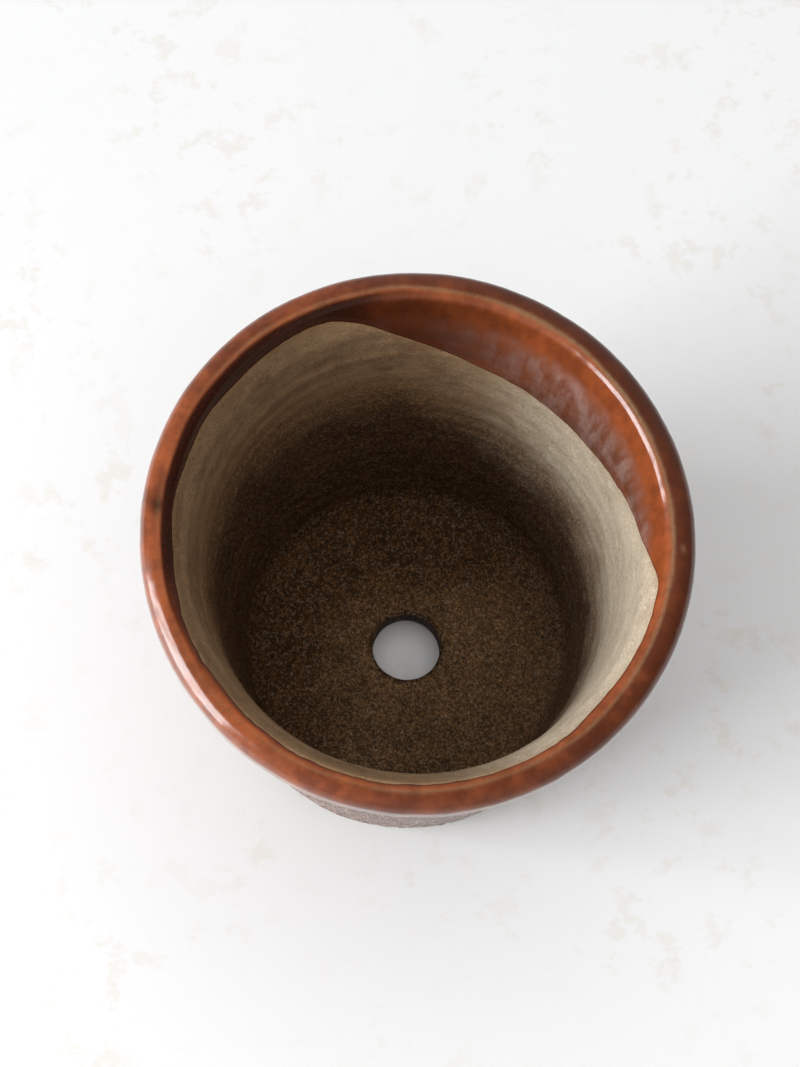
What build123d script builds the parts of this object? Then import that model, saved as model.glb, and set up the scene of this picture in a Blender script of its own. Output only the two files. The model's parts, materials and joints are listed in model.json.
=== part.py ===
from build123d import *
import os
from math import cos, pi, radians, sin

# A wheel-thrown stoneware pot for a small bonsai. It stands on three feet on the plane Z = 0,
# with the pot's own axis on Z, so the origin is on the axis, at the level of the soles.
# All sizes are in millimetres.

# --- the thrown clay wall ---
pot_height = 110.5          # from the soles to the top of the clay lip
rim_radius = 56.3           # bare clay, at the widest ring of the lip
base_radius = 41.8          # bare clay, at the outer corner of the base
wall = 5.2                  # wall thickness, measured level
floor_thickness = 6.5
floor_corner_radius = 8.0   # inside, where the wall turns into the floor
base_corner_radius = 1.2    # outside, where the wall turns under
drain_radius = 8.0
drain_edge_radius = 0.5     # softened edges of the drain hole

# --- the rolled lip ---
lip_thickness = 5.0         # across the top of the roll
lip_depth = 6.8             # from the top of the roll to the corner under it
lip_overhang = 5.7          # how far the roll stands out past the wall's top
lip_outer_share = 0.66      # how much of its thickness the roll's outer rounding takes
lip_inner_share = 0.30      # and its tighter inner rounding
flare_drop = 9.5            # from the top of the lip to where the inside begins to flare out to it
flare_setback = 3.8         # how far that level lies inside the lip's inner corner
flare_round = 12.0
neck_drop = 10.8            # from the top of the lip to the neck under the roll
neck_setback = 3.7          # how far the neck lies inside the rim
neck_round = 3.0
shoulder_drop = 22.5        # from the top of the lip to where the straight wall begins
shoulder_round = 20.0

# --- the glaze, a glassy coat fired on to the clay ---
coat = 0.7                  # glaze thickness
lip_coat_inside = 3.8       # how far the lip glaze reaches down inside, from the clay lip's top
lip_coat_outside = 10.0     # and down outside
coat_clear_of_base = 1.5    # bare clay left above the base corner
run_direction = 55.0        # compass angle of the deepest point of the inner run, from +X
run_depth = 22.7            # from the clay lip's top to the deepest point of the inner run
run_tilt = 43.0             # slope of the run's edge, which is as straight as a tilted dip leaves it

# --- the feet, three pads of clay pressed on under the base ---
foot_count = 3
foot_height = 5.0
foot_width = 7.0            # across, towards the axis
foot_length = 24.0          # along the ring that the feet stand on
foot_inset = 3.4            # bare base left outside the feet
foot_taper = 8.0            # the pads narrow towards their soles
foot_edge_radius = 1.0
first_foot_direction = 90.0

# Heights and radii that follow from the sizes above
base_level = foot_height
floor_level = base_level + floor_thickness
lip_corner_level = pot_height - lip_depth
neck_level = pot_height - neck_drop
shoulder_level = pot_height - shoulder_drop
shoulder_radius = rim_radius - lip_overhang
neck_radius = rim_radius - neck_setback
lip_inner_radius = rim_radius - lip_thickness
lip_outer_round = lip_outer_share * lip_thickness
lip_inner_round = lip_inner_share * lip_thickness
flare_level = pot_height - flare_drop
flare_radius = lip_inner_radius - flare_setback
throat_radius = shoulder_radius - wall
wall_slope = (shoulder_radius - base_radius) / (shoulder_level - base_level)
floor_radius = base_radius - wall + wall_slope * floor_thickness


def core_radius(level):
    """Radius of the middle of the wall at a height, which parts the inner coats from the outer."""
    if level <= shoulder_level:
        return base_radius - wall / 2 + wall_slope * (level - base_level)
    share = (level - shoulder_level) / (pot_height - shoulder_level)
    lip_core = rim_radius - lip_thickness / 2
    shoulder_core = shoulder_radius - wall / 2
    return shoulder_core + share * (lip_core - shoulder_core)


# Half section of the clay, from the axis out along the base, up the outside and back down inside
outline = [
    (0, base_level),
    (base_radius, base_level),
    (shoulder_radius, shoulder_level),
    (neck_radius, neck_level),
    (rim_radius, lip_corner_level),
    (rim_radius, pot_height),
    (lip_inner_radius, pot_height),
    (flare_radius, flare_level),
    (throat_radius, shoulder_level),
    (floor_radius, floor_level),
    (0, floor_level),
]
outline_rounds = [
    base_corner_radius,
    shoulder_round,
    neck_round,
    lip_outer_round,
    lip_outer_round,
    lip_inner_round,
    flare_round,
    shoulder_round,
    floor_corner_radius,
]

with BuildSketch(Plane.XZ) as clay_section:
    with BuildLine():
        FilletPolyline(*outline, radius=outline_rounds)
        Line((0, floor_level), (0, base_level))
    make_face()

# The same section grown by the glaze thickness, with the clay taken out of it: a coat all round
with BuildSketch(Plane.XZ) as coat_section:
    add(clay_section.sketch_local)
    offset(amount=coat, kind=Kind.INTERSECTION)
    add(clay_section.sketch_local, mode=Mode.SUBTRACT)

# Where each coat lies on the section, as an area that the all-round coat is trimmed to
reach = rim_radius + 2 * coat
outer_seam_level = pot_height - lip_coat_outside
inner_seam_level = pot_height - lip_coat_inside
run_floor = pot_height - run_depth - coat

outer_zone = [
    (core_radius(base_level), base_level + coat_clear_of_base),
    (reach, base_level + coat_clear_of_base),
    (reach, outer_seam_level),
    (core_radius(outer_seam_level), outer_seam_level),
    (core_radius(shoulder_level), shoulder_level),
]
lip_zone = [
    (core_radius(outer_seam_level), outer_seam_level),
    (reach, outer_seam_level),
    (reach, pot_height + 2 * coat),
    (0, pot_height + 2 * coat),
    (0, inner_seam_level),
    (core_radius(inner_seam_level), inner_seam_level),
]
run_zone = [
    (0, run_floor),
    (core_radius(run_floor), run_floor),
    (core_radius(inner_seam_level), inner_seam_level),
    (0, inner_seam_level),
]

os.makedirs("parts", exist_ok=True)

# The pot itself: wall, floor and rolled lip are one piece of fired clay
with BuildPart() as clay_body:
    add(clay_section.sketch)
    revolve(axis=Axis.Z)
    with Locations((0, 0, floor_level)):
        Hole(radius=drain_radius)
    fillet(edges(Select.LAST).filter_by(GeomType.CIRCLE), radius=drain_edge_radius)
clay_body.part.label = "clay_body"
export_step(clay_body.part, "parts/clay_body.step")

# Outside: a coarse, sparkling coat from the neck down to just above the base
with BuildPart() as glaze_outer:
    with BuildSketch(Plane.XZ):
        add(coat_section.sketch_local)
        with BuildSketch(mode=Mode.INTERSECT):
            with BuildLine():
                Polyline(*outer_zone, close=True)
            make_face()
    revolve(axis=Axis.Z)
glaze_outer.part.label = "glaze_outer"
export_step(glaze_outer.part, "parts/glaze_outer.step")

# Lip: a smooth glossy coat over the roll, from the neck outside to a shallow edge inside
with BuildPart() as glaze_lip:
    with BuildSketch(Plane.XZ):
        add(coat_section.sketch_local)
        with BuildSketch(mode=Mode.INTERSECT):
            with BuildLine():
                Polyline(*lip_zone, close=True)
            make_face()
    revolve(axis=Axis.Z)
glaze_lip.part.label = "glaze_lip"
export_step(glaze_lip.part, "parts/glaze_lip.step")

# Inside: the deeper crescent on one side, below the lip coat, where the pot was dipped at a tilt.
# Its lower edge is cut by the tilted plane through the deepest point of the inner wall.
run_low_level = pot_height - run_depth
run_low_radius = core_radius(run_low_level) - wall / 2
run_turn = radians(run_direction)
run_lean = radians(run_tilt)
dip_plane = Plane(
    origin=(run_low_radius * cos(run_turn), run_low_radius * sin(run_turn), run_low_level),
    z_dir=(sin(run_lean) * cos(run_turn), sin(run_lean) * sin(run_turn), cos(run_lean)),
)

with BuildPart() as glaze_run:
    with BuildSketch(Plane.XZ):
        add(coat_section.sketch_local)
        with BuildSketch(mode=Mode.INTERSECT):
            with BuildLine():
                Polyline(*run_zone, close=True)
            make_face()
    revolve(axis=Axis.Z)
    split(bisect_by=dip_plane, keep=Keep.TOP)
glaze_run.part.label = "glaze_run"
export_step(glaze_run.part, "parts/glaze_run.step")

# Feet: low curved pads that hold the drain hole clear of the surface under the pot
foot_ring_radius = base_radius - foot_inset - foot_width / 2
foot_span = 360 * (foot_length - foot_width) / (2 * pi * foot_ring_radius)

for index in range(foot_count):
    foot_direction = first_foot_direction + index * 360 / foot_count
    foot_line = CenterArc((0, 0), foot_ring_radius, foot_direction - foot_span / 2, foot_span)
    with BuildPart() as foot:
        with BuildSketch(Plane.XY.offset(foot_height)):
            SlotArc(foot_line, foot_width)
        extrude(amount=-foot_height, taper=foot_taper)
        fillet(foot.faces().sort_by(Axis.Z)[0].edges(), radius=foot_edge_radius)
    foot.part.label = f"foot_{index + 1}"
    export_step(foot.part, f"parts/{foot.part.label}.step")
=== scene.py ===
import bpy
import bmesh
import json
import math
import numpy as np
from mathutils import Matrix, Vector


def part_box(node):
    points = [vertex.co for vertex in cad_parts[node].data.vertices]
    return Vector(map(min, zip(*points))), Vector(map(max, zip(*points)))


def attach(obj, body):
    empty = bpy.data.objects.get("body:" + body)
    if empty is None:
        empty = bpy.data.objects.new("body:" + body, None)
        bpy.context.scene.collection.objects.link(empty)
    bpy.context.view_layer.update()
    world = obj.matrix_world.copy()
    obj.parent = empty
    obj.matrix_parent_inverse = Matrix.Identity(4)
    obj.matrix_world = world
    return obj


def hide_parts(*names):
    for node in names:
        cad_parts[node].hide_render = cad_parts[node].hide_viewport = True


# A thrown stoneware pot for a small bonsai: bare clay, three glaze coats and three foot pads
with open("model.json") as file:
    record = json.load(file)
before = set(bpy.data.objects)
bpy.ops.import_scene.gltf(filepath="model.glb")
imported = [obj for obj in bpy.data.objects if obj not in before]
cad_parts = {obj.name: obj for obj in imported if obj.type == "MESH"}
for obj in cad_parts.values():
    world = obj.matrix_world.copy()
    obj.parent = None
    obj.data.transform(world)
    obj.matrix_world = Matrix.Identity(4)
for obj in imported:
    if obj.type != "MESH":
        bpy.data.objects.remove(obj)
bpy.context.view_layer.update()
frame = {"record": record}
mm = 0.001
print("frame loaded")

clayLow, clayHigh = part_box("clay_body")
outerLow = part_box("glaze_outer")[0]
lipLow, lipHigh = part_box("glaze_lip")
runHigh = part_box("glaze_run")[1]
mounts = {m["name"]: m for m in frame["record"]["mounts"]}

baseLevel = clayLow.z
topLevel = clayHigh.z
rimRadius = clayHigh.x
glazeThickness = lipHigh.x - clayHigh.x
drainRadius = mounts["drain_hole"]["dims"]["r_mm"] * mm
drainWall = mounts["drain_hole"]["dims"]["length_mm"] * mm


# Smooth step from 0 at low to 1 at high
def ease(value, low, high):
    t = np.clip((value - low) / (high - low), 0, 1)
    return t * t * (3 - 2 * t)


# Lattice noise from -1 to 1: a hashed value at each corner of a cube, blended smoothly between them
def softNoise(points, cell, seed):
    q = points / cell + 1000.0
    base = np.floor(q).astype(np.int64)
    t = q - base
    t = t * t * (3 - 2 * t)
    total = np.zeros(points.shape[:-1])
    for corner in range(8):
        step = np.array([corner & 1, corner >> 1 & 1, corner >> 2 & 1])
        c = base + step
        h = (c[..., 0] * 73856093) ^ (c[..., 1] * 19349663) ^ (c[..., 2] * 83492791) ^ (seed * 2654435761)
        h = (h ^ (h >> 13)) * 1274126177 & 0xFFFFFFFF
        h = (h ^ (h >> 16)) & 0xFFFFFF
        share = np.prod(np.where(step == 1, t, 1 - t), axis=-1)
        total = total + share * (h / 0xFFFFFF * 2 - 1)
    return total


# Points at a distance from the pot's axis, a height and an angle round it
def placeAt(radius, height, angle):
    return np.stack([radius * np.cos(angle), radius * np.sin(angle), height + 0 * angle], axis=-1)


# Walks straight from corner to corner and swaps each corner for an arc tangent to both sides,
# with points about "gap" apart
def roundedOutline(corners, radii, gap):
    corners = [np.array(c, float) for c in corners]
    points = []
    start = corners[0]
    for i in range(1, len(corners)):
        end = corners[i]
        arc = None
        if i < len(corners) - 1 and radii[i - 1] > 0:
            inward = (corners[i - 1] - end) / np.linalg.norm(corners[i - 1] - end)
            onward = (corners[i + 1] - end) / np.linalg.norm(corners[i + 1] - end)
            half = math.acos(np.clip(inward @ onward, -1, 1)) / 2
            setback = radii[i - 1] / math.tan(half)
            bisector = (inward + onward) / np.linalg.norm(inward + onward)
            centre = end + bisector * radii[i - 1] / math.sin(half)
            arcStart, arcEnd = end + inward * setback, end + onward * setback
            a0 = math.atan2(*(arcStart - centre)[::-1])
            sweep = (math.atan2(*(arcEnd - centre)[::-1]) - a0 + math.pi) % (2 * math.pi) - math.pi
            count = max(8, int(abs(sweep) * radii[i - 1] / gap) + 1)
            turn = a0 + sweep * np.linspace(0, 1, count + 1)
            arc = centre + radii[i - 1] * np.column_stack([np.cos(turn), np.sin(turn)])
            end = arcStart
        count = max(1, int(round(np.linalg.norm(end - start) / gap)))
        points.append(start + (end - start) * np.linspace(0, 1, count, endpoint=False)[:, None])
        if arc is not None:
            points.append(arc[:-1])
        start = end if arc is None else arc[-1]
    points.append(start[None])
    return np.concatenate(points)


# The thrown clay. It repeats the CAD section, then adds what a hand on a wheel leaves.
pot = dict(
    baseRadius=41.8 * mm,
    wall=5.2 * mm,
    drainEdge=0.5 * mm,
    floorCorner=8.0 * mm,
    baseCorner=1.2 * mm,
    lipThickness=5.0 * mm,
    lipDepth=6.8 * mm,
    lipOuterRound=3.3 * mm,
    lipInnerRound=1.5 * mm,
    flareDrop=9.5 * mm,
    flareSetback=3.8 * mm,
    flareRound=12 * mm,
    neckDrop=10.8 * mm,
    neckSetback=3.7 * mm,
    neckRound=3.0 * mm,
    shoulderDrop=22.5 * mm,
    shoulderSetback=5.7 * mm,
    shoulderRound=20 * mm,
    outOfRound=0.42 * mm,     # the rim is a little longer one way
    longDirection=115,        # degrees from +X
    lobes=0.14 * mm,          # and slightly three sided
    lobeDirection=20,
    rimWobble=0.3 * mm,       # the rim's height rises and falls
    wobbleDirection=60,
    ringPitch=6.3 * mm,       # throwing rings left by the fingers inside
    ringDepth=0.08 * mm,
    ringsEnd=9 * mm,          # no rings this near the top
    burr=0.2 * mm,            # clay pushed up round the drain hole
    burrWidth=1.1 * mm,
    holeWobble=0.06 * mm,
    grit=0.05 * mm,
    around=300,
)

shoulderLevel = topLevel - pot["shoulderDrop"]
shoulderRadius = rimRadius - pot["shoulderSetback"]
wallSlope = (shoulderRadius - pot["baseRadius"]) / (shoulderLevel - baseLevel)
floorThickness = drainWall + 2 * pot["drainEdge"]
floorLevel = baseLevel + floorThickness
floorRadius = pot["baseRadius"] - pot["wall"] + wallSlope * floorThickness

# Half section of the clay, from the middle of the underside up the outside, down inside, and
# through the drain hole back to where it began
clayCorners = [
    (drainRadius + 6 * mm, baseLevel),
    (pot["baseRadius"], baseLevel),
    (shoulderRadius, shoulderLevel),
    (rimRadius - pot["neckSetback"], topLevel - pot["neckDrop"]),
    (rimRadius, topLevel - pot["lipDepth"]),
    (rimRadius, topLevel),
    (rimRadius - pot["lipThickness"], topLevel),
    (rimRadius - pot["lipThickness"] - pot["flareSetback"], topLevel - pot["flareDrop"]),
    (shoulderRadius - pot["wall"], shoulderLevel),
    (floorRadius, floorLevel),
    (drainRadius, floorLevel),
    (drainRadius, baseLevel),
    (drainRadius + 6 * mm, baseLevel),
]
clayRounds = [
    pot["baseCorner"],
    pot["shoulderRound"],
    pot["neckRound"],
    pot["lipOuterRound"],
    pot["lipOuterRound"],
    pot["lipInnerRound"],
    pot["flareRound"],
    pot["shoulderRound"],
    pot["floorCorner"],
    pot["drainEdge"],
    pot["drainEdge"],
]
outline = roundedOutline(clayCorners, clayRounds, 0.1 * mm)
along = np.concatenate([[0], np.cumsum(np.linalg.norm(np.diff(outline, axis=0), axis=1))])
forward = np.gradient(outline, along, axis=0)
forward /= np.linalg.norm(forward, axis=1)[:, None]
outward = np.column_stack([forward[:, 1], -forward[:, 0]])


# Distance along the outline to the point nearest a radius and height
def outlineAt(radius, height):
    return along[np.argmin(np.hypot(outline[:, 0] - radius, outline[:, 1] - height))]


# Radius and height on the outline at a distance along it, and the way that faces out of the clay there
def onOutline(distance):
    return [np.interp(distance, along, line) for line in (*outline.T, *outward.T)]


# Places along the outline, whose gaps ease from one stop's size to the next
def rowsAlong(stops):
    distance = np.linspace(stops[0][0], stops[-1][0], 6000)
    gap = np.interp(distance, [s[0] for s in stops], [s[1] for s in stops])
    count = np.concatenate([[0], np.cumsum(np.diff(distance) / gap[1:])])
    total = int(round(count[-1]))
    return np.interp(np.arange(total + 1) / total * count[-1], count, distance)


crest = outlineAt(rimRadius - pot["lipOuterRound"] - 0.1 * mm, topLevel)
drainTop = outlineAt(drainRadius, floorLevel)
drainFoot = outlineAt(drainRadius, baseLevel)


# How far the fingers moved the clay along its outward way: a spiral of rings up the wall and over
# the floor, each a shallow hollow, fading out towards the rim and the drain hole
def fingerMarks(distance, angle):
    climb = (drainTop - distance) / pot["ringPitch"] + angle / (2 * math.pi)
    drift = 0.22 * np.sin(2 * angle + climb * 0.9) + 0.15 * np.sin(3 * angle - climb * 0.5)
    ring = np.cos(2 * math.pi * (climb + drift)) + 0.35 * np.cos(2 * math.pi * (climb * 2.3 - drift))
    inside = ease(distance, crest + pot["ringsEnd"], crest + pot["ringsEnd"] + 14 * mm)
    inside = inside * (1 - ease(distance, drainTop - 9 * mm, drainTop - 3 * mm))
    return pot["ringDepth"] * ring * inside


# Puts a section point (radius, height) at an angle, out of round by an amount that grows to the rim
def thrownShape(radius, height, angle):
    share = np.clip((height - baseLevel) / (topLevel - baseLevel), 0, 1.05)
    grow = pot["outOfRound"] * np.cos(2 * (angle - math.radians(pot["longDirection"])))
    grow = grow + pot["lobes"] * np.cos(3 * (angle - math.radians(pot["lobeDirection"])))
    lift = pot["rimWobble"] * np.cos(2 * (angle - math.radians(pot["wobbleDirection"])))
    return placeAt(radius + share * grow * radius / rimRadius, height + share**3 * lift, angle)


# A mesh from a grid of points. Rows and columns join up again where closed says so, points that
# fall together are merged, and the faces are turned outwards by the sign of the enclosed volume.
def gridMesh(name, grid, masks=None, closed=(True, True), sharpRows=()):
    rows, columns = grid.shape[:2]
    index = np.arange(rows * columns).reshape(rows, columns)
    if closed[0]:
        index = np.concatenate([index, index[:1]])
    if closed[1]:
        index = np.concatenate([index, index[:, :1]], axis=1)
    ofQuads = [index[:-1, :-1], index[:-1, 1:], index[1:, 1:], index[1:, :-1]]
    quads = np.stack(ofQuads, axis=-1).reshape(-1, 4)
    points = grid.reshape(-1, 3)
    a, b, c, d = (points[quads[:, k]] for k in range(4))
    volume = np.einsum("ij,ij->", a, np.cross(b, c)) + np.einsum("ij,ij->", a, np.cross(c, d))
    if volume < 0:
        quads = quads[:, ::-1]
    mesh = bpy.data.meshes.new(name)
    mesh.vertices.add(len(points))
    mesh.vertices.foreach_set("co", points.astype(np.float32).ravel())
    mesh.loops.add(quads.size)
    mesh.loops.foreach_set("vertex_index", quads.astype(np.int32).ravel())
    mesh.polygons.add(len(quads))
    mesh.polygons.foreach_set("loop_start", np.arange(0, quads.size, 4, dtype=np.int32))
    mesh.update(calc_edges=True)
    mesh.polygons.foreach_set("use_smooth", np.ones(len(quads), bool))
    for label, values in (masks or {}).items():
        layer = mesh.attributes.new(label, "FLOAT", "POINT")
        layer.data.foreach_set("value", np.broadcast_to(values, grid.shape[:2]).astype(np.float32).ravel())
    if sharpRows:
        ends = np.zeros(len(mesh.edges) * 2, np.int32)
        mesh.edges.foreach_get("vertices", ends)
        row = ends.reshape(-1, 2) // columns
        sharp = mesh.attributes.new("sharp_edge", "BOOLEAN", "EDGE")
        sharp.data.foreach_set("value", (row[:, 0] == row[:, 1]) & np.isin(row[:, 0], sharpRows))
    net = bmesh.new()
    net.from_mesh(mesh)
    bmesh.ops.remove_doubles(net, verts=net.verts, dist=1e-7)
    net.to_mesh(mesh)
    net.free()
    piece = bpy.data.objects.new(name, mesh)
    bpy.context.scene.collection.objects.link(piece)
    return piece


def finishPiece(piece, slot, material, *nodes):
    piece.data.materials.append(material)
    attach(piece, "root")
    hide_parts(*nodes)
    print(piece.name, len(piece.data.polygons), "faces")
    return piece


# Adds a node. Inputs are values or sockets to link, by name or number; options are its settings.
def addNode(tree, kind, inputs=None, **options):
    made = tree.nodes.new(kind)
    for option, value in options.items():
        setattr(made, option, value)
    for socket, value in (inputs or {}).items():
        if isinstance(value, bpy.types.NodeSocket):
            tree.links.new(value, made.inputs[socket])
        else:
            made.inputs[socket].default_value = value
    return made


# The first colour where share is 0, the second where it is 1
def blendColours(tree, share, *colours):
    ends = [end if isinstance(end, bpy.types.NodeSocket) else (*end, 1) for end in colours]
    inputs = {0: share, 6: ends[0], 7: ends[1]}
    return addNode(tree, "ShaderNodeMix", inputs, data_type="RGBA").outputs[2]


def sums(tree, operation, *values):
    made = addNode(tree, "ShaderNodeMath", dict(enumerate(values)), operation=operation)
    return made.outputs[0]


# A sum of values, each times a share of its own
def weighted(tree, *parts):
    scaled = [sums(tree, "MULTIPLY", value, share) for value, share in parts]
    total = scaled[0]
    for part in scaled[1:]:
        total = sums(tree, "ADD", total, part)
    return total


# How far a noise is from its middle, times an amount
def swing(tree, value, amount):
    return sums(tree, "MULTIPLY", sums(tree, "SUBTRACT", value, 0.5), amount)


# A colour or a vector, times an amount
def scaleBy(tree, value, amount):
    return addNode(tree, "ShaderNodeVectorMath", {0: value, 3: amount}, operation="SCALE").outputs[0]


# Distance from the pot's axis, from a place's separate coordinates
def fromAxis(tree, at):
    flat = addNode(tree, "ShaderNodeCombineXYZ", {0: at[0], 1: at[1]}).outputs[0]
    return addNode(tree, "ShaderNodeVectorMath", {0: flat}, operation="LENGTH").outputs["Value"]


# Maps a value from low..high to start..end, eased at both ends and held outside them
def easeMap(tree, value, low, high, start=0.0, end=1.0):
    inputs = {0: value, 1: low, 2: high, 3: start, 4: end}
    return addNode(tree, "ShaderNodeMapRange", inputs, interpolation_type="SMOOTHSTEP").outputs[0]


def noise(tree, place, size, detail=2.0, roughness=0.5):
    inputs = {"Vector": place, "Scale": 1 / size, "Detail": detail, "Roughness": roughness}
    return addNode(tree, "ShaderNodeTexNoise", inputs).outputs[0]


# A node group with named number or colour inputs and outputs; returns it with its end nodes
def newGroup(name, inputs, outputs):
    group = bpy.data.node_groups.new(name, "ShaderNodeTree")
    for label, kind, value in inputs:
        socket = group.interface.new_socket(label, in_out="INPUT", socket_type=kind)
        if value is not None:
            socket.default_value = value
    for label, kind in outputs:
        group.interface.new_socket(label, in_out="OUTPUT", socket_type=kind)
    return group, group.nodes.new("NodeGroupInput").outputs, group.nodes.new("NodeGroupOutput").inputs


def useGroup(tree, group, inputs):
    return addNode(tree, "ShaderNodeGroup", inputs, node_tree=group).outputs


number, colour, vector = "NodeSocketFloat", "NodeSocketColor", "NodeSocketVector"


# Coarse fired clay: sand grains packed side by side, bent a little out of shape, each with a tone
# and a tint of its own, and pits at some of the larger cells
def makeGrit():
    group, given, out = newGroup(
        "firedGrit",
        [("Place", vector, None), ("Grain", number, 0.45 * mm), ("Pit share", number, 0.15)],
        [("Tone", number), ("Tint", number), ("Pits", number), ("Height", number)],
    )
    place = given["Place"]
    warp = addNode(group, "ShaderNodeTexNoise", {"Vector": place, "Scale": 2600.0, "Detail": 1.0})
    shift = {0: place, 1: scaleBy(group, warp.outputs["Color"], 0.5 * mm)}
    bent = addNode(group, "ShaderNodeVectorMath", shift, operation="ADD").outputs[0]
    scale = sums(group, "DIVIDE", 1.0, given["Grain"])
    cells = addNode(group, "ShaderNodeTexVoronoi", {"Vector": bent, "Scale": scale})
    own = addNode(group, "ShaderNodeSeparateColor", {0: cells.outputs["Color"]}).outputs
    fine = noise(group, place, 0.8 * mm, 3.0, 0.7)
    tone = weighted(group, (own[0], 0.62), (easeMap(group, fine, 0.3, 0.7), 0.38))
    scale = sums(group, "DIVIDE", scale, 2.6)
    coarse = addNode(group, "ShaderNodeTexVoronoi", {"Vector": bent, "Scale": scale})
    which = addNode(group, "ShaderNodeSeparateColor", {0: coarse.outputs["Color"]}).outputs
    pits = sums(group, "GREATER_THAN", which[1], sums(group, "SUBTRACT", 1.0, given["Pit share"]))
    pits = sums(group, "MULTIPLY", pits, easeMap(group, coarse.outputs["Distance"], 0.16, 0.34, 1.0, 0.0))
    height = sums(group, "SUBTRACT", weighted(group, (tone, 0.6), (fine, 0.4)), pits)
    group.links.new(tone, out["Tone"])
    group.links.new(own[1], out["Tint"])
    group.links.new(pits, out["Pits"])
    group.links.new(height, out["Height"])
    return group


# Rings from the wheel: noise read at (distance from the axis, height), so it runs round the pot
def makeWheelBands():
    inputs = [("Place", vector, None), ("Width", number, 4 * mm)]
    group, given, out = newGroup("wheelBands", inputs, [("Bands", number)])
    at = addNode(group, "ShaderNodeSeparateXYZ", {0: given["Place"]}).outputs
    slow = sums(group, "MULTIPLY", sums(group, "ADD", at[0], at[1]), 0.06)
    read = {0: fromAxis(group, at), 1: at[2], 2: slow}
    read = addNode(group, "ShaderNodeCombineXYZ", read).outputs[0]
    scale = sums(group, "DIVIDE", 1.0, given["Width"])
    inputs = {"Vector": read, "Scale": scale, "Detail": 3.0, "Roughness": 0.6}
    group.links.new(addNode(group, "ShaderNodeTexNoise", inputs).outputs[0], out["Bands"])
    return group


# Iron glaze, mottled and streaked all over: it browns on the outside, where the Outer mask also paints
# shade, breaks to a pale line where it is thin, darkens where it pools and along its edge, and clouds over
# with a haze on the run
def makeIronGlaze():
    group, given, out = newGroup(
        "ironGlaze",
        [
            ("Place", vector, None),
            ("Breaking", number, 0.0),
            ("Pooling", number, 0.0),
            ("Haze", number, 0.0),
            ("Edge", number, 0.0),
            ("Outer", number, 0.0),
            ("Body", colour, None),
            ("Deep", colour, None),
            ("Brown", colour, None),
            ("Pool", colour, None),
            ("Thin", colour, None),
            ("Cloud", colour, None),
            ("Under", colour, None),
            ("Rim line", colour, None),
        ],
        [("Color", colour), ("Roughness", number), ("Height", number)],
    )
    large = noise(group, given["Place"], 7 * mm, 3.0, 0.6)
    small = noise(group, given["Place"], 1.3 * mm, 3.0, 0.65)
    speck = noise(group, given["Place"], 0.45 * mm, 2.0, 0.7)
    fall = {0: given["Place"], 1: (1.0, 1.0, 0.22)}
    fall = addNode(group, "ShaderNodeVectorMath", fall, operation="MULTIPLY")
    streaks = noise(group, fall.outputs[0], 3.4 * mm, 3.0, 0.6)
    tone = weighted(group, (large, 0.55), (streaks, 0.45))
    body = blendColours(group, easeMap(group, tone, 0.36, 0.64, 0.0, 0.75), given["Body"], given["Deep"])
    # brown outside: partly the glaze's own, partly painted shade on the side away from the window
    brownedAndShaded = easeMap(group, sums(group, "ADD", given["Outer"], swing(group, tone, 0.7)), 0.0, 1.0)
    body = blendColours(group, brownedAndShaded, body, given["Brown"])
    under = blendColours(group, easeMap(group, tone, 0.35, 0.65), given["Under"], given["Deep"])
    drifts = easeMap(group, large, 0.32, 0.60, 0.35, 1.0)
    cloudy = sums(group, "MULTIPLY", easeMap(group, streaks, 0.34, 0.66, 0.1, 0.9), drifts)
    run = blendColours(group, cloudy, under, given["Cloud"])
    made = blendColours(group, given["Haze"], body, run)
    made = blendColours(group, given["Pooling"], made, given["Pool"])
    thin = sums(group, "MULTIPLY", given["Breaking"], easeMap(group, small, 0.25, 0.60, 0.45, 1.0))
    made = blendColours(group, thin, made, given["Thin"])
    made = blendColours(group, given["Edge"], made, given["Rim line"])
    fleck = sums(group, "MULTIPLY", easeMap(group, speck, 0.56, 0.72), 0.45)
    made = blendColours(group, fleck, made, given["Deep"])
    rough = sums(group, "ADD", weighted(group, (small, 0.10), (given["Haze"], 0.14)), 0.07)
    height = weighted(group, (small, 0.7), (speck, 0.3))
    group.links.new(made, out["Color"])
    group.links.new(rough, out["Roughness"])
    group.links.new(height, out["Height"])
    return group


firedGrit = makeGrit()
wheelBands = makeWheelBands()
ironGlaze = makeIronGlaze()


def newMaterial(name):
    material = bpy.data.materials.new(name)
    material.use_nodes = True
    tree = material.node_tree
    shader = tree.nodes["Principled BSDF"]
    place = tree.nodes.new("ShaderNodeTexCoord").outputs["Object"]
    return material, tree, shader, place


def attribute(tree, name):
    return addNode(tree, "ShaderNodeAttribute", attribute_name=name).outputs["Fac"]


def bump(tree, shader, height, distance, strength=1.0):
    made = addNode(tree, "ShaderNodeBump", {"Height": height, "Distance": distance, "Strength": strength})
    tree.links.new(made.outputs[0], shader.inputs["Normal"])


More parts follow.
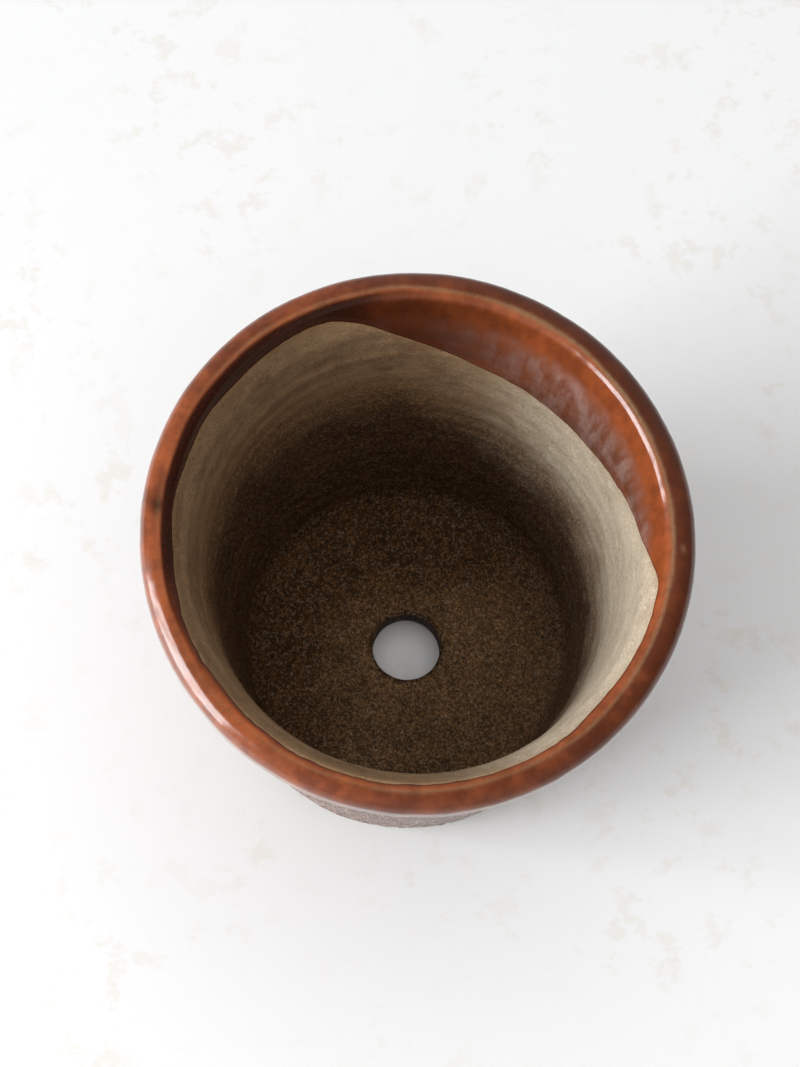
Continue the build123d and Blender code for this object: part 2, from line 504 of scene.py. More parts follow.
clayLook = dict(
    upper=(0.64, 0.54, 0.40),     # the upper wall, painted paler on the side that the window lights
    far=(0.335, 0.215, 0.112),    # and painted darker as shade round the rest
    litWallSide=2,                   # compass angle of that painted lit side
    litWallReach=42 * mm,            # how far across the pot that changes
    lower=(0.074, 0.033, 0.011),  # the foot of the wall: brown clay, painted darker as corner shade
    floor=(0.150, 0.084, 0.037),  # and the middle of the floor
    # middle of the floor's pale patch, set towards the lit side and away from the far wall, so the wall
    # foot round it is painted shade
    floorMiddle=(14 * mm, -17 * mm),
    floorFades=(22 * mm, 45 * mm),
    lowerEnds=50 * mm,            # height where the browned bottom gives way to the wall above
    upperStarts=80 * mm,
    litSideDrop=13 * mm,            # and how much lower that is on the lit side, a painted edge of the shadow that the window-side rim casts
    dusk=0.66,                    # darker patches, as a share of the colour round them
    rust=(0.27, 0.15, 0.062),     # where the brown bottom meets the wall
    ironBlush=(0.30, 0.145, 0.065),
    flash=(0.46, 0.27, 0.13),     # warm edge that the glaze leaves on the clay beside it
    sole=(0.31, 0.20, 0.125),
    soleDusk=(0.24, 0.15, 0.09),
    warmGrain=(0.30, 0.15, 0.065),
    paleGrain=(0.40, 0.34, 0.26),
    # colour of pits in the grit, also used as painted shade inside the drain hole
    pitAndHoleShade=(0.022, 0.012, 0.007),
    grain=0.38 * mm,
    pitShare=0.10,
    bandWidth=4.5 * mm,
    roughness=0.86,
    relief=0.12 * mm,
)


# Bare stoneware: pale above, browned towards the floor, banded by the wheel and full of grit
# Painted light: paler on the side that the window lights, darker round the rest, and darker again as shade
# at the foot of the wall and in the drain hole
def makeClay(name, look, soleOnly=False):
    material, tree, shader, place = newMaterial(name)
    grit = {"Place": place, "Grain": look["grain"], "Pit share": look["pitShare"]}
    grit = useGroup(tree, firedGrit, grit)
    bands = useGroup(tree, wheelBands, {"Place": place, "Width": look["bandWidth"]})["Bands"]
    patches = noise(tree, place, 15 * mm, 3.0, 0.55)
    small = noise(tree, place, 3.4 * mm, 4.0, 0.65)
    at = addNode(tree, "ShaderNodeSeparateXYZ", {0: place}).outputs
    worn = easeMap(tree, weighted(tree, (bands, 0.3), (small, 0.35), (patches, 0.35)), 0.40, 0.60)
    # Painted light: lean grows towards the side that the window lights, where the wall is painted pale;
    # round the rest it is painted darker as shade
    litWallWay = math.radians(look["litWallSide"])
    toLitWall = (math.cos(litWallWay), math.sin(litWallWay), 0.0)
    lean = addNode(tree, "ShaderNodeVectorMath", {0: place, 1: toLitWall}, operation="DOT_PRODUCT")
    lean = sums(tree, "DIVIDE", lean.outputs["Value"], look["litWallReach"])
    lean = sums(tree, "ADD", lean, swing(tree, patches, 0.6))
    upper = blendColours(tree, easeMap(tree, lean, 0.05, 0.80), look["far"], look["upper"])
    # Painted shade: the floor keeps its paler tone only round a middle set towards the lit side, and
    # darkens to the lower colour at the foot of the wall
    middle = {0: place, 1: (*look["floorMiddle"], floorLevel)}
    out = addNode(tree, "ShaderNodeVectorMath", middle, operation="DISTANCE").outputs["Value"]
    out = sums(tree, "ADD", out, swing(tree, patches, 12 * mm))
    lower = blendColours(tree, easeMap(tree, out, *look["floorFades"]), look["floor"], look["lower"])
    # The browned bottom gives way to the wall above; on the lit side it does so lower down, a painted edge
    # of the window-side rim's shadow
    raised = sums(tree, "ADD", at[2], swing(tree, patches, 26 * mm))
    raised = sums(tree, "ADD", raised, sums(tree, "MULTIPLY", lean, look["litSideDrop"]))
    pale = easeMap(tree, raised, look["lowerEnds"], look["upperStarts"])
    made = blendColours(tree, pale, lower, upper)
    rust = sums(tree, "MULTIPLY", sums(tree, "MULTIPLY", pale, sums(tree, "SUBTRACT", 1.0, pale)), 1.5)
    made = blendColours(tree, rust, made, look["rust"])
    calm = easeMap(tree, lean, 0.1, 0.8, 0.0, 0.65)
    spotted = easeMap(tree, small, 0.40, 0.62, 0.0, 0.45)
    blush = sums(tree, "MULTIPLY", easeMap(tree, patches, 0.46, 0.62), spotted)
    reddened = sums(tree, "SUBTRACT", pale, sums(tree, "MULTIPLY", calm, 0.8))
    made = blendColours(tree, sums(tree, "MULTIPLY", blush, reddened), made, look["ironBlush"])
    dusk = sums(tree, "MULTIPLY", sums(tree, "SUBTRACT", 1.0, calm), 1 - look["dusk"])
    dusk = sums(tree, "SUBTRACT", 1.0, sums(tree, "MULTIPLY", worn, dusk))
    made = scaleBy(tree, made, dusk)
    sole = blendColours(tree, easeMap(tree, small, 0.35, 0.65), look["sole"], look["soleDusk"])
    if soleOnly:
        made = sole
    else:
        under = easeMap(tree, at[2], baseLevel + 0.2 * mm, baseLevel + 0.8 * mm, 1.0, 0.0)
        made = blendColours(tree, under, made, sole)
        # Painted shade: the wall of the drain hole is darkened to the pit colour
        edge = (drainRadius + 0.3 * mm, drainRadius + 1.4 * mm)
        holeShade = easeMap(tree, fromAxis(tree, at), *edge, 0.8, 0.0)
        made = blendColours(tree, holeShade, made, look["pitAndHoleShade"])
        warm = easeMap(tree, small, 0.25, 0.60, 0.35, 0.9)
        warm = sums(tree, "MULTIPLY", attribute(tree, "flash"), warm)
        made = blendColours(tree, warm, made, look["flash"])
    strong = easeMap(tree, pale, 0.0, 1.0, 1.25, 0.26)
    gain = sums(tree, "MULTIPLY", sums(tree, "POWER", grit["Tone"], 3.0), 2.0)
    gain = sums(tree, "MULTIPLY", sums(tree, "SUBTRACT", gain, 0.42), strong)
    gain = sums(tree, "MAXIMUM", sums(tree, "ADD", gain, 1.0), 0.2)
    made = scaleBy(tree, made, gain)
    warm = sums(tree, "GREATER_THAN", grit["Tint"], 0.84)
    warm = sums(tree, "MULTIPLY", warm, easeMap(tree, pale, 0.0, 1.0, 0.42, 0.12))
    made = blendColours(tree, warm, made, look["warmGrain"])
    light = sums(tree, "LESS_THAN", grit["Tint"], 0.10)
    light = sums(tree, "MULTIPLY", light, easeMap(tree, pale, 0.0, 1.0, 0.30, 0.25))
    made = blendColours(tree, light, made, look["paleGrain"])
    pits = sums(tree, "MULTIPLY", grit["Pits"], easeMap(tree, pale, 0.0, 1.0, 0.8, 0.22))
    made = blendColours(tree, pits, made, look["pitAndHoleShade"])
    tree.links.new(made, shader.inputs["Base Color"])
    shader.inputs["Roughness"].default_value = look["roughness"]
    bump(tree, shader, grit["Height"], look["relief"])
    return material


roughLook = dict(
    body=(0.215, 0.100, 0.060),
    deep=(0.105, 0.045, 0.028),
    ash=(0.62, 0.50, 0.44),
    clay=(0.30, 0.20, 0.125),
    grain=0.55 * mm,
    pitShare=0.2,
    bandWidth=7 * mm,
    roughness=(0.14, 0.40),
    relief=0.42 * mm,
)


# The coat outside: a coarse crystalline skin that sparkles, with pale grit standing through it
def makeRoughGlaze(name, look):
    material, tree, shader, place = newMaterial(name)
    grit = {"Place": place, "Grain": look["grain"], "Pit share": look["pitShare"]}
    grit = useGroup(tree, firedGrit, grit)
    bands = useGroup(tree, wheelBands, {"Place": place, "Width": look["bandWidth"]})["Bands"]
    patches = noise(tree, place, 11 * mm, 4.0, 0.6)
    tone = weighted(tree, (bands, 0.4), (patches, 0.6))
    made = blendColours(tree, easeMap(tree, tone, 0.40, 0.60), look["body"], look["deep"])
    made = scaleBy(tree, made, sums(tree, "ADD", swing(tree, grit["Tone"], 1.3), 1.0))
    ash = sums(tree, "GREATER_THAN", grit["Tint"], 0.72)
    ash = sums(tree, "MULTIPLY", ash, easeMap(tree, grit["Tone"], 0.3, 0.7, 0.15, 0.8))
    made = blendColours(tree, ash, made, look["ash"])
    made = blendColours(tree, sums(tree, "MULTIPLY", grit["Pits"], 0.8), made, look["deep"])
    made = blendColours(tree, sums(tree, "MULTIPLY", attribute(tree, "worn"), 0.8), made, look["clay"])
    tree.links.new(made, shader.inputs["Base Color"])
    tree.links.new(easeMap(tree, grit["Tint"], 0.0, 1.0, *look["roughness"]), shader.inputs["Roughness"])
    bump(tree, shader, grit["Height"], look["relief"])
    return material


glazeLook = dict(
    body=(0.33, 0.080, 0.024),
    deep=(0.15, 0.035, 0.012),
    brown=(0.085, 0.021, 0.009),
    pool=(0.020, 0.0045, 0.002),
    thin=(0.27, 0.155, 0.080),
    cloud=(0.36, 0.215, 0.18),
    under=(0.20, 0.060, 0.026),
    rimLine=(0.070, 0.018, 0.009),
    ior=1.33,
    coatIor=1.62,
    coatRoughness=0.19,
    relief=0.035 * mm,
)


# The smooth glazes on the lip and down the run share one make-up, steered by masks on each piece
def makeSmoothGlaze(name, look):
    material, tree, shader, place = newMaterial(name)
    inputs = {"Place": place, "Rim line": (*look["rimLine"], 1)}
    for mask in ("Breaking", "Pooling", "Haze", "Edge", "Outer"):
        inputs[mask] = attribute(tree, mask.lower())
    for tint in ("Body", "Deep", "Brown", "Pool", "Thin", "Cloud", "Under"):
        inputs[tint] = (*look[tint.lower()], 1)
    glaze = useGroup(tree, ironGlaze, inputs)
    tree.links.new(glaze["Color"], shader.inputs["Base Color"])
    tree.links.new(glaze["Roughness"], shader.inputs["Roughness"])
    tree.links.new(attribute(tree, "gloss"), shader.inputs["Coat Weight"])
    shader.inputs["IOR"].default_value = look["ior"]
    shader.inputs["Coat IOR"].default_value = look["coatIor"]
    shader.inputs["Coat Roughness"].default_value = look["coatRoughness"]
    bump(tree, shader, glaze["Height"], look["relief"])
    return material


bareClay = makeClay("bareClay", clayLook)
footClay = makeClay("footClay", clayLook, soleOnly=True)
roughGlaze = makeRoughGlaze("roughGlaze", roughLook)
lipGlaze = makeSmoothGlaze("lipGlaze", glazeLook)
runGlaze = makeSmoothGlaze("runGlaze", glazeLook)
print("materials made")

# The smooth glaze on the lip, and the run that it sends down one side inside
coat = dict(
    # compass angle, and how far down inside the glaze reaches there, in mm from the top of the lip
    reach=[
        (0, 7.8), (10, 13.7), (20, 18), (30, 21.7), (40, 24.3), (55, 25.1), (70, 24.4), (80, 22.7),
        (90, 19.2), (100, 14.3), (110, 8.2), (117, 5.3), (125, 4.6), (145, 5), (155, 4), (168, 4.1),
        (180, 3), (190, 3.3), (210, 1.7), (225, 1.8), (250, 1.1), (285, 1.5), (310, 1.8), (324, 3.2),
        (340, 2.9), (348, 3.4), (354, 3.8),
    ],
    wander=0.16 * mm,         # unevenness of that edge
    edgeRound=0.65 * mm,      # how far in the coat takes to reach its full thickness
    edgeBead=0.12 * mm,       # and how much thicker it stands just inside
    crestThin=0.22 * mm,      # it draws thin over the top of the lip
    lump=0.07 * mm,
    sink=0.05 * mm,           # the back of the coat lies this far into the clay
    around=540,
)


# Distance along the outline where the glaze ends inside, at each angle: a smooth curve through the
# stops in reach, with each stop's slope that of the line between its neighbours, made uneven by noise
def glazeEnd(angle):
    stops = np.array(coat["reach"])
    x, y = np.concatenate([stops + [turn, 0] for turn in (-360, 0, 360)]).T
    slope = np.zeros(len(x))
    slope[1:-1] = (y[2:] - y[:-2]) / (x[2:] - x[:-2])
    at = np.degrees(angle) % 360
    i = np.searchsorted(x, at, "right") - 1
    gap = x[i + 1] - x[i]
    t = (at - x[i]) / gap
    reach = (1 + 2 * t) * (1 - t) ** 2 * y[i] + t * (1 - t) ** 2 * gap * slope[i]
    reach = reach + t**2 * (3 - 2 * t) * y[i + 1] + t**2 * (t - 1) * gap * slope[i + 1]
    ring = placeAt(50 * mm, 0, angle)
    uneven = softNoise(ring, 3.1 * mm, 5) + 0.5 * softNoise(ring, 1.1 * mm, 6)
    return crest + reach * mm + coat["wander"] * uneven


# A glaze coat: a closed skin whose front stands off the clay by a thickness and whose back lies in
# it. It runs from start to end, distances along the outline at each angle. The thickness rounds off
# to nothing where the glaze ends, so a coat that stops short of that ends in a full cut, and another
# coat carries on from it.
def glazeSkin(start, end, angle, frontRows, backRows):
    share = np.asarray(frontRows)[:, None]
    front = start + (end - start) * share
    stop = glazeEnd(angle)
    left = np.clip((stop - front) / coat["edgeRound"], 0, 1)
    rounding = np.sqrt(np.clip(1 - (1 - left) ** 2, 0, 1))
    radius, height, outR, outZ = onOutline(front)
    around = placeAt(radius, height, angle)
    thick = glazeThickness - coat["crestThin"] * np.exp(-(((front - crest) / (2.2 * mm)) ** 2))
    thick = thick + coat["edgeBead"] * np.exp(-(((stop - front - 0.9 * mm) / (0.6 * mm)) ** 2))
    thick = thick + coat["lump"] * softNoise(around, 5 * mm, 11)
    thick = thick + 0.4 * coat["lump"] * softNoise(around, 1.6 * mm, 12)
    fade = ease(front, lipFoot, lipFoot + 1.2 * mm)
    thick = thick * rounding * (0.75 + 0.25 * fade)
    marks = fingerMarks(front, angle)
    face = thrownShape(radius + outR * (marks + thick), height + outZ * (marks + thick), angle)
    share = np.asarray(backRows)[:, None]
    back = end + (start - end) * share
    radius, height, outR, outZ = onOutline(back)
    marks = fingerMarks(back, angle) - coat["sink"]
    hidden = thrownShape(radius + outR * marks, height + outZ * marks, angle)
    return np.concatenate([face, hidden]), np.concatenate([front, back]), stop


# Distance along the outline, on its way down inside, to a height
def insideAt(height):
    down = (along > crest + 1 * mm) & (along < drainTop - 20 * mm)
    return np.interp(-height, -outline[down, 1], along[down])


lipFoot = outlineAt(rimRadius - pot["neckSetback"], lipLow.z)
seam = insideAt(runHigh.z)
print("lip coat is", round((seam - lipFoot) / mm, 1), "mm wide round the roll")

# The clay
distance = rowsAlong([
    (0, 1.3 * mm),
    (outlineAt(pot["baseRadius"], baseLevel) - 3 * mm, 1.0 * mm),
    (outlineAt(pot["baseRadius"], baseLevel), 0.35 * mm),
    (outlineAt(pot["baseRadius"], baseLevel) + 4 * mm, 1.3 * mm),
    (lipFoot - 10 * mm, 1.6 * mm),
    (crest - 5 * mm, 0.9 * mm),
    (crest, 0.6 * mm),
    (crest + 8 * mm, 0.75 * mm),
    (drainTop - 34 * mm, 0.85 * mm),
    (drainTop - 3 * mm, 0.75 * mm),
    (drainTop - 0.5 * mm, 0.14 * mm),
    (drainTop + 0.5 * mm, 0.14 * mm),
    (drainTop + 3 * mm, 0.7 * mm),
    (drainFoot - 0.5 * mm, 0.16 * mm),
    (drainFoot + 0.5 * mm, 0.16 * mm),
    (along[-1], 1.2 * mm),
])[:-1, None]
angle = np.linspace(-math.pi, math.pi, pot["around"], endpoint=False)[None]
radius, height, outR, outZ = onOutline(distance)
atClay = placeAt(radius, height, angle)
marks = fingerMarks(distance, angle)
marks = marks + pot["grit"] * (softNoise(atClay, 1.7 * mm, 1) + 0.6 * softNoise(atClay, 4.5 * mm, 2))
edgeOfHole = np.exp(-(((distance - drainTop + 1.0 * mm) / pot["burrWidth"]) ** 2))
marks = marks + pot["burr"] * edgeOfHole * (0.75 + 0.45 * softNoise(atClay, 3.5 * mm, 3))
inHole = ease(distance, drainTop - 1.5 * mm, drainTop)
inHole = inHole * (1 - ease(distance, drainFoot, drainFoot + 1.5 * mm))
hole = np.cos(2 * angle + 0.7) + 0.6 * np.cos(3 * angle + 2.0) + 0.8 * softNoise(atClay, 3 * mm, 4)
grid = thrownShape(radius + outR * marks + pot["holeWobble"] * inHole * hole, height + outZ * marks, angle)
below = distance - glazeEnd(angle)
flash = np.where(below > -1 * mm, np.exp(-np.clip(below, 0, None) / (1.5 * mm)), 0) * (distance < drainTop)
clay = gridMesh("clayBody", grid, {"flash": flash})
finishPiece(clay, "bare_clay", bareClay, "clay_body")

# The rough coat outside, from the lip's coat down to a ragged edge just above the base
rough = dict(
    edgeWander=0.5 * mm,
    edgeRound=0.8 * mm,
    coarse=0.13 * mm,         # height of the lumps, and their size
    coarseSize=1.5 * mm,
    fine=0.09 * mm,
    fineSize=0.75 * mm,
    around=560,
)
angle = np.linspace(-math.pi, math.pi, rough["around"], endpoint=False)[None]
ring = placeAt(pot["baseRadius"], 0, angle)
foot = outlineAt(pot["baseRadius"], outerLow.z) + 0 * angle
ragged = 0.3 + softNoise(ring, 6 * mm, 21) + 0.5 * softNoise(ring, 1.8 * mm, 22)
foot = foot + rough["edgeWander"] * ragged
share = rowsAlong([(0, 0.0012), (0.02, 0.004), (0.08, 0.0085), (1, 0.0085)])[:, None]
front = foot + (lipFoot - foot) * share
radius, height, outR, outZ = onOutline(front)
atCoat = placeAt(radius, height, angle)
lumps = rough["coarse"] * softNoise(atCoat, rough["coarseSize"], 23)
lumps = lumps + rough["fine"] * softNoise(atCoat, rough["fineSize"], 24)
calm = 1 - ease(front, lipFoot - 3 * mm, lipFoot)
rounding = np.sqrt(np.clip(1 - (1 - np.clip((front - foot) / rough["edgeRound"], 0, 1)) ** 2, 0, 1))
thick = (glazeThickness + lumps * calm) * rounding
face = thrownShape(radius + outR * thick, height + outZ * thick, angle)
share = np.linspace(1, 0, 46)[:, None]
back = foot + (lipFoot - foot) * share
radius, height, outR, outZ = onOutline(back)
hidden = thrownShape(radius - outR * coat["sink"], height - outZ * coat["sink"], angle)
worn = np.concatenate([np.exp(-(front - foot) / (1.0 * mm)), np.exp(-(back - foot) / (1.0 * mm))])
worn = worn * (0.6 + 0.4 * softNoise(ring, 2.5 * mm, 25))
rows = len(front)
skin = gridMesh("roughCoat", np.concatenate([face, hidden]), {"worn": worn}, sharpRows=(rows - 1, rows))
finishPiece(skin, "rough_glaze", roughGlaze, "glaze_outer")

# Where the smooth glazes change, by compass angle and by distance past the top of the lip
change = dict(
    awayFromWindow=25,                 # the side facing away from the window: the pale line over the lip is palest here, and the outside is brownest here, mostly as painted shade
    breakWidth=0.42 * mm,         # width of that pale line
    speck=(2, -1.1 * mm),         # a pale speck: its angle, and how far past the top
    poolStart=84,                 # pools dark under the lip from here round
    poolEases=(30, 108, 150),     # full after these degrees, until these, and gone by these
    hazeSide=34,                  # clouds over most here
    hazeStarts=(6 * mm, 10.5 * mm),
    darkEnd=(52, 98),             # the run darkens between these, towards its far end
    drip=(180, -0.4 * mm),        # a brown drip: its angle, and how far past the top
    edgeWidth=(0.3 * mm, 1.3 * mm),
    glossOutside=-155,            # the side that stays glassy outside the top of the lip
    glossInside=28,               # and inside it
    glossLeast=0.18,
)


# Masks for the smooth glazes, each a product of eased steps along the outline and bells round the
# pot: where the coat breaks over the top of the lip, with one pale speck; how far it browns outside,
# with painted shade on the side away from the window; where it pools under the lip, low on the run,
# at the run's far end and in one drip; where it hazes over; its dark edge; and how glassy it stays
def glazeMasks(place, angle, stop):
    turn = np.degrees(angle)
    ring = placeAt(50 * mm, 0, angle)
    right = 0.5 + 0.5 * np.cos(np.radians(turn - change["awayFromWindow"]))
    line = crest + (1.1 * right - 0.32) * mm + 0.2 * mm * softNoise(ring, 9 * mm, 31)
    width = change["breakWidth"] * (1 + 0.3 * softNoise(ring, 5 * mm, 33))
    breaking = 0.20 + 0.65 * right + 0.15 * softNoise(ring, 7 * mm, 32)
    breaking = np.exp(-(((place - line) / width) ** 2)) * breaking
    at, past = change["speck"]
    speck = np.exp(-(((turn - at) / 0.7) ** 2) - ((place - crest - past) / (0.4 * mm)) ** 2)
    breaking = np.maximum(breaking, speck)
    # The outside browns a little all round; the larger share, towards the side away from the window, is
    # painted shade
    outer = 0.20 + 0.72 * right + 0.16 * softNoise(ring, 12 * mm, 34)
    outer = outer * (1 - ease(place, line - 0.4 * mm, line + 0.4 * mm))
    onward = (turn - change["poolStart"]) % 360
    full, fades, gone = change["poolEases"]
    left = ease(onward, 0, full) * (1 - ease(onward, fades, gone))
    pooling = ease(place, line + 0.3 * mm, line + 0.9 * mm) * left * 0.96
    hazeLow, hazeHigh = change["hazeStarts"]
    haze = 0.45 + 0.55 * np.exp(-(((turn - change["hazeSide"]) / 34) ** 2))
    haze = ease(place, crest + hazeLow, crest + hazeHigh) * haze
    lowEnd = 0.35 * ease(place, crest + 15 * mm, crest + 23 * mm)
    farEnd = 0.72 * ease(turn, *change["darkEnd"]) * ease(place, line + 0.2 * mm, line + 3 * mm)
    at, past = change["drip"]
    drip = ((np.abs(turn) - at) / 2.4) ** 2 + ((place - crest - past) / (1.3 * mm)) ** 2
    pooling = np.clip(np.maximum.reduce([pooling, lowEnd, farEnd, 0.9 * np.exp(-drip)]), 0, 1)
    edge = 1 - ease(stop - place, *change["edgeWidth"])
    edge = 0.8 * edge * ease(place, line + 0.5 * mm, line + 1.2 * mm)
    fromGloss = (turn - change["glossOutside"] + 180) % 360 - 180
    lit = np.exp(-((fromGloss / 42) ** 2)) * (1 - ease(place, line - 1 * mm, line))
    inside = ease(place, line - 0.6 * mm, line + 0.4 * mm)
    lit = lit + np.exp(-(((turn - change["glossInside"]) / 34) ** 2)) * inside
    gloss = np.clip(change["glossLeast"] + lit, 0, 1) * (1 - 0.95 * pooling)
    masks = {"breaking": breaking, "pooling": pooling, "haze": haze, "edge": edge}
    return {**masks, "outer": np.clip(outer, 0, 1), "gloss": gloss}


# Distances from a coat's inner edge of its last few rows, which lie closer towards the edge
near = np.array([0, 0.05, 0.12, 0.22, 0.34, 0.48, 0.64, 0.82, 1.02, 1.25, 1.5, 1.8]) * mm

# The lip's coat ends at the glaze line, or at the seam where the run carries on
angle = np.linspace(-math.pi, math.pi, coat["around"], endpoint=False)[None]
stop = glazeEnd(angle)
end = np.minimum(stop, seam)
length = crest + 4 * mm - lipFoot
frontShare = rowsAlong([(0, 0.02), (0.1, 0.026), (1 - near[-1] / length, 0.02)])
frontShare = np.concatenate([frontShare, 1 - near[-2::-1] / length])
face, place, stop = glazeSkin(lipFoot + 0 * angle, end, angle, frontShare, np.linspace(0, 1, 22))
sharpRows = (0, len(frontShare) - 1, len(frontShare), len(face) - 1)
lip = gridMesh("lipCoat", face, glazeMasks(place, angle, stop), sharpRows=sharpRows)
finishPiece(lip, "lip_glaze", lipGlaze, "glaze_lip")

# The run, which narrows to a point at each end
inRun = np.flatnonzero(stop[0] > seam)
columns = np.arange(inRun[0] - 1, inRun[-1] + 2)
angle = angle[:, columns]
stop = stop[:, columns]
start = np.minimum(stop, seam)
frontShare = 1 - (1 - np.linspace(0, 1, 40)) ** 1.6
face, place, stop = glazeSkin(start, stop, angle, frontShare, np.linspace(0, 1, 20))
sharpRows = (0, len(frontShare) - 1, len(frontShare), len(face) - 1)
run = gridMesh("innerRun", face, glazeMasks(place, angle, stop), (True, False), sharpRows)
finishPiece(run, "run_glaze", runGlaze, "glaze_run")

# Feet: pads rolled out of clay and pressed on, so they spread where they meet the base
feet = dict(
    halfWidth=3.5 * mm,
    inset=3.4 * mm,           # bare base left outside the pads
    spread=1.09,              # wider where a pad joins the base
    sole=0.87,                # and narrower at the sole
    squareness=0.62,          # 1 is an ellipse, smaller is boxier
    press=0.25 * mm,          # how far a pad is sunk into the base
    lump=0.16 * mm,
    around=96,
)
firstLow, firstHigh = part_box("foot_1")  # it lies across the Y axis, so its box gives its length
halfLength = (firstHigh.x - firstLow.x) / 2
ringRadius = pot["baseRadius"] - feet["inset"] - feet["halfWidth"]

# Each pad is an ellipse pulled out towards a box, its width easing from sole to base. It is bent
# round the ring that the feet stand on, and closed at both ends by rows that shrink to a point.
for index, name in enumerate(("foot_1", "foot_2", "foot_3")):
    low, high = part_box(name)
    middle = (low + high) / 2
    facing = math.atan2(middle.y, middle.x)
    turn = np.linspace(0, 2 * math.pi, feet["around"], endpoint=False)[None]
    rise = np.concatenate([np.zeros(7), np.linspace(0, 1, 14)[1:] ** 0.9, np.ones(6)])[:, None]
    swell = np.concatenate([np.linspace(0, 0.93, 7), np.ones(13), np.linspace(1, 0, 7)[1:]])[:, None]
    power = feet["squareness"]
    c, s = np.cos(turn), np.sin(turn)
    sideways = np.sign(c) * np.abs(c) ** power
    across = np.sign(s) * np.abs(s) ** power
    width = feet["sole"] + (feet["spread"] - feet["sole"]) * rise**1.5
    width = width * swell * (1 - 0.07 * np.exp(-rise / 0.06))
    level = (high.z + feet["press"]) * rise
    bow = halfLength / ringRadius * sideways * width
    r = ringRadius + feet["halfWidth"] * across * width
    grid = np.stack([r * np.cos(facing + bow), r * np.sin(facing + bow), level + 0 * turn], axis=-1)
    between = np.sin(math.pi * np.clip(rise, 0, 1)) ** 0.5
    lumps = feet["lump"] * softNoise(grid + index, 4 * mm, 41) * between
    away = grid - np.array([ringRadius * math.cos(facing), ringRadius * math.sin(facing), 0])
    away[..., 2] = 0
    away /= np.linalg.norm(away, axis=-1, keepdims=True) + 1e-9
    pad = gridMesh(f"footPad{index + 1}", grid + away * lumps[..., None], closed=(False, True))
    finishPiece(pad, "foot_clay", footClay, name)

# A pale table top, faintly mottled
table = dict(colour=(0.915, 0.92, 0.92), mottle=(0.87, 0.855, 0.82), halfSide=7.0)
material, tree, shader, place = newMaterial("tableTop")
blotch = noise(tree, place, 9 * mm, 5.0, 0.72)
patch = easeMap(tree, noise(tree, place, 50 * mm, 2.0, 0.5), 0.42, 0.6, 0.15, 1.0)
share = sums(tree, "MULTIPLY", easeMap(tree, blotch, 0.53, 0.62), patch)
tree.links.new(blendColours(tree, share, table["colour"], table["mottle"]), shader.inputs["Base Color"])
shader.inputs["Roughness"].default_value = 0.55
mesh = bpy.data.meshes.new("tableTop")
h = table["halfSide"]
mesh.from_pydata([(-h, -h, 0), (h, -h, 0), (h, h, 0), (-h, h, 0)], [], [(0, 1, 2, 3)])
floor = bpy.data.objects.new("tableTop", mesh)
bpy.context.scene.collection.objects.link(floor)
mesh.materials.append(material)

# A window of three panes on the left, a soft lamp overhead that the glaze doesn't mirror, and a room
lights = dict(
    windowX=-1.5,
    windowZ=(0.06, 1.90),
    panes=[(-1.25, -0.80), (-0.74, -0.30), (-0.22, -0.02)],
    windowRadiance=8.6,
    windowColour=(0.975, 0.985, 1.0),
    lampHeight=1.5,
    lampRadius=0.87,
    lampRadiance=1.45,
    lampColour=(0.985, 0.99, 1.0),
    roomBright=(0.57, 0.565, 0.56),  # behind and in front of the pot
    roomDim=(0.12, 0.114, 0.108),    # to either side and above
)


# An area light of a given radiance, facing a point
def addLamp(name, centre, aim, size, radiance, tint, shape="RECTANGLE"):
    data = bpy.data.lights.new(name, "AREA")
    data.shape = shape
    data.size = size[0]
    area = size[0] * size[0] * math.pi / 4
    if shape == "RECTANGLE":
        data.size_y = size[1]
        area = size[0] * size[1]
    data.energy = radiance * area * math.pi
    data.color = tint
    lamp = bpy.data.objects.new(name, data)
    lamp.location = centre
    lamp.rotation_euler = (Vector(aim) - Vector(centre)).to_track_quat("-Z", "Y").to_euler()
    lamp.visible_camera = False
    bpy.context.scene.collection.objects.link(lamp)
    return lamp


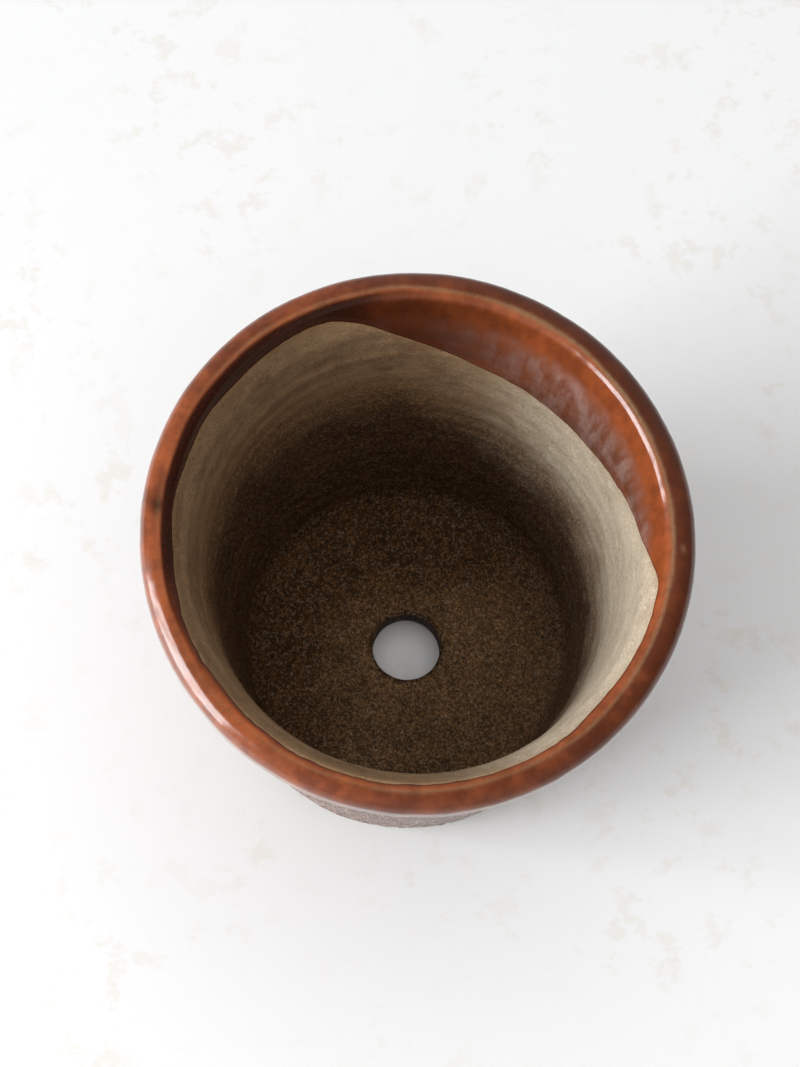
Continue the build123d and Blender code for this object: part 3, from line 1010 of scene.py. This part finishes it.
z0, z1 = lights["windowZ"]
for index, (y0, y1) in enumerate(lights["panes"]):
    centre = (lights["windowX"], (y0 + y1) / 2, (z0 + z1) / 2)
    aim = (0, centre[1], centre[2])
    size = (y1 - y0, z1 - z0)
    addLamp(f"pane{index + 1}", centre, aim, size, lights["windowRadiance"], lights["windowColour"])
centre = (0, 0, lights["lampHeight"])
size = (2 * lights["lampRadius"],)
lamp = addLamp("overhead", centre, (0, 0, 0), size, lights["lampRadiance"], lights["lampColour"], "DISK")
lamp.visible_glossy = False

world = bpy.data.worlds.new("room")
world.use_nodes = True
sky = world.node_tree
facing = addNode(sky, "ShaderNodeTexCoord").outputs["Generated"]
towardsY = addNode(sky, "ShaderNodeSeparateXYZ", {0: facing}).outputs[1]
share = easeMap(sky, sums(sky, "ABSOLUTE", towardsY), 0.1, 1.0)
room = blendColours(sky, share, lights["roomDim"], lights["roomBright"])
sky.links.new(room, sky.nodes["Background"].inputs["Color"])
bpy.context.scene.world = world

# The camera, on the pot's -Y side, looking steeply down into it
cameraRig = dict(
    distance=541.6 * mm,
    direction=-88.63,         # degrees from +X, seen from above
    elevation=73.89,
    lookAt=(-3.6 * mm, 0.16 * mm),
    lookBelowTop=3.0 * mm,
    roll=4.38,
    lens=89.7,
)
data = bpy.data.cameras.new("camera")
data.sensor_width = 36
data.lens = cameraRig["lens"]
data.clip_start = 0.01
data.clip_end = 50
camera = bpy.data.objects.new("camera", data)
bpy.context.scene.collection.objects.link(camera)
aim = Vector((*cameraRig["lookAt"], topLevel - cameraRig["lookBelowTop"]))
a, e = math.radians(cameraRig["direction"]), math.radians(cameraRig["elevation"])
back = Vector((math.cos(e) * math.cos(a), math.cos(e) * math.sin(a), math.sin(e)))
camera.location = aim + back * cameraRig["distance"]
turned = back.to_track_quat("Z", "Y").to_matrix().to_4x4()
rolled = turned @ Matrix.Rotation(math.radians(cameraRig["roll"]), 4, "Z")
camera.rotation_euler = rolled.to_euler()
bpy.context.scene.camera = camera
bpy.context.scene.view_settings.view_transform = "Standard"
print("lights and camera set")
